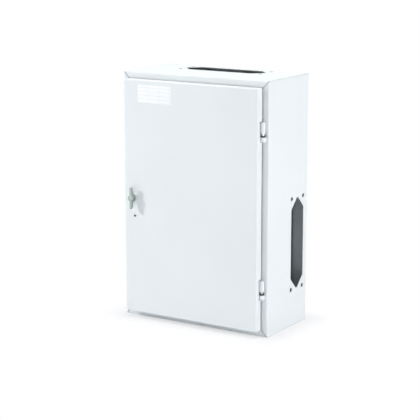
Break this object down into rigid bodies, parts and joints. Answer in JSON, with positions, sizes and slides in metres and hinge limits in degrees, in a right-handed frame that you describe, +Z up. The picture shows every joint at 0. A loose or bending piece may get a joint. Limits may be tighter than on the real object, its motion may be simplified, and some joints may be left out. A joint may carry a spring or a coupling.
{
  "type": "consumer unit",
  "caption": "Wall-mounted sheet-steel consumer unit with a hinged door, wing-knob lock, open cable entries and modular switchgear behind slotted covers.",
  "frame": {"origin": "middle of the four wall-fixing holes, on the outside of the back", "axes": "+X to the right as seen from the front, the door faces -Y, +Z up"},
  "size_m": [0.4, 0.2285, 0.6],
  "materials": {
    "powder_coat": "fine-textured light grey powder coat",
    "galvanised_steel": "galvanised sheet",
    "zinc_plated_steel": "bright zinc plate",
    "satin_zinc_casting": "satin nickel on die-cast zinc",
    "dark_steel": "black oxide",
    "black_nylon": "moulded",
    "cover_screw_plastic": "moulded",
    "device_housing": "moulded",
    "red_lever": "moulded",
    "black_lever": "moulded",
    "test_button_plastic": "moulded",
    "copper": "bare copper",
    "brass": "drawn bar",
    "steel_terminal_screws": "zinc plate",
    "blue_support": "moulded",
    "green_support": "moulded",
    "blanking_plastic": "moulded",
    "gasket_foam": "foamed in place",
    "label_film": "blank white film"
  },
  "bodies": {
    "enclosure": {"breaker_1": "device_housing", "breaker_2": "device_housing", "breaker_3": "device_housing", "breaker_4": "device_housing", "comb_busbar": "copper", "cover_pillars": "zinc_plated_steel", "cover_screws": "cover_screw_plastic", "earth_bar": "brass", "earth_bar_screws": "steel_terminal_screws", "earth_bar_supports": "green_support", "earth_stud": "zinc_plated_steel", "earth_stud_nut": "zinc_plated_steel", "enclosure_body": "powder_coat", "hinge_pins": "zinc_plated_steel", "hinge_washers": "black_nylon", "left_upright": "galvanised_steel", "lower_blanking_strip": "blanking_plastic", "lower_cover": "powder_coat", "lower_din_rail": "galvanised_steel", "lower_hinge_bracket": "powder_coat", "main_switch": "device_housing", "middle_blanking_strip": "blanking_plastic", "middle_cover": "powder_coat", "middle_din_rail": "galvanised_steel", "mounting_nuts": "zinc_plated_steel", "mounting_plate": "galvanised_steel", "mounting_studs": "zinc_plated_steel", "neutral_bar": "brass", "neutral_bar_screws": "steel_terminal_screws", "neutral_bar_supports": "blue_support", "rail_screws": "zinc_plated_steel", "residual_current_switch": "device_housing", "right_upright": "galvanised_steel", "upper_blanking_strip": "blanking_plastic", "upper_cover": "powder_coat", "upper_din_rail": "galvanised_steel", "upper_hinge_bracket": "powder_coat", "upright_screws": "zinc_plated_steel"},
    "door": {"door_panel": "powder_coat", "door_gasket": "gasket_foam", "upper_hinge_arm": "powder_coat", "lower_hinge_arm": "powder_coat", "lock_housing": "satin_zinc_casting", "lock_nut": "zinc_plated_steel", "seal_screw": "dark_steel", "rating_label": "label_film", "door_earth_stud": "zinc_plated_steel"},
    "lock": {"wing_knob": "satin_zinc_casting", "lock_spindle": "zinc_plated_steel", "lock_cam": "zinc_plated_steel", "cam_screw": "zinc_plated_steel"},
    "main_switch_lever_body": {"main_switch_lever": "red_lever"},
    "residual_current_lever_body": {"residual_current_lever": "black_lever"},
    "breaker_lever_1_body": {"breaker_lever_1": "black_lever"},
    "breaker_lever_2_body": {"breaker_lever_2": "black_lever"},
    "breaker_lever_3_body": {"breaker_lever_3": "black_lever"},
    "breaker_lever_4_body": {"breaker_lever_4": "black_lever"},
    "test_button_body": {"residual_current_test_button": "test_button_plastic"}
  },
  "joints": [
    {"name": "door_hinge", "type": "hinge", "parent": "enclosure", "child": "door", "pos_m": [0.188, -0.194, 0], "axis": [0, 0, 1], "range_deg": [0, 120]},
    {"name": "lock_turn", "type": "hinge", "parent": "door", "child": "lock", "pos_m": [-0.158, -0.212, 0], "axis": [0, 1, 0], "range_deg": [0, 90]},
    {"name": "main_switch_lever_swing", "type": "hinge", "parent": "enclosure", "child": "main_switch_lever_body", "pos_m": [-0.108, -0.1485, 0.165], "axis": [-1, 0, 0], "range_deg": [0, 76]},
    {"name": "residual_current_lever_swing", "type": "hinge", "parent": "enclosure", "child": "residual_current_lever_body", "pos_m": [-0.07905, -0.1485, 0.165], "axis": [-1, 0, 0], "range_deg": [0, 76]},
    {"name": "breaker_lever_1_swing", "type": "hinge", "parent": "enclosure", "child": "breaker_lever_1_body", "pos_m": [-0.045, -0.1485, 0.165], "axis": [-1, 0, 0], "range_deg": [0, 76]},
    {"name": "breaker_lever_2_swing", "type": "hinge", "parent": "enclosure", "child": "breaker_lever_2_body", "pos_m": [-0.027, -0.1485, 0.165], "axis": [-1, 0, 0], "range_deg": [0, 76]},
    {"name": "breaker_lever_3_swing", "type": "hinge", "parent": "enclosure", "child": "breaker_lever_3_body", "pos_m": [-0.009, -0.1485, 0.165], "axis": [-1, 0, 0], "range_deg": [0, 76]},
    {"name": "breaker_lever_4_swing", "type": "hinge", "parent": "enclosure", "child": "breaker_lever_4_body", "pos_m": [0.009, -0.1485, 0.165], "axis": [-1, 0, 0], "range_deg": [0, 76]},
    {"name": "test_button_press", "type": "slide", "parent": "enclosure", "child": "test_button_body", "axis": [0, 1, 0], "range_m": [0, 0.0015], "stiffness_N_per_m": 800}
  ]
}
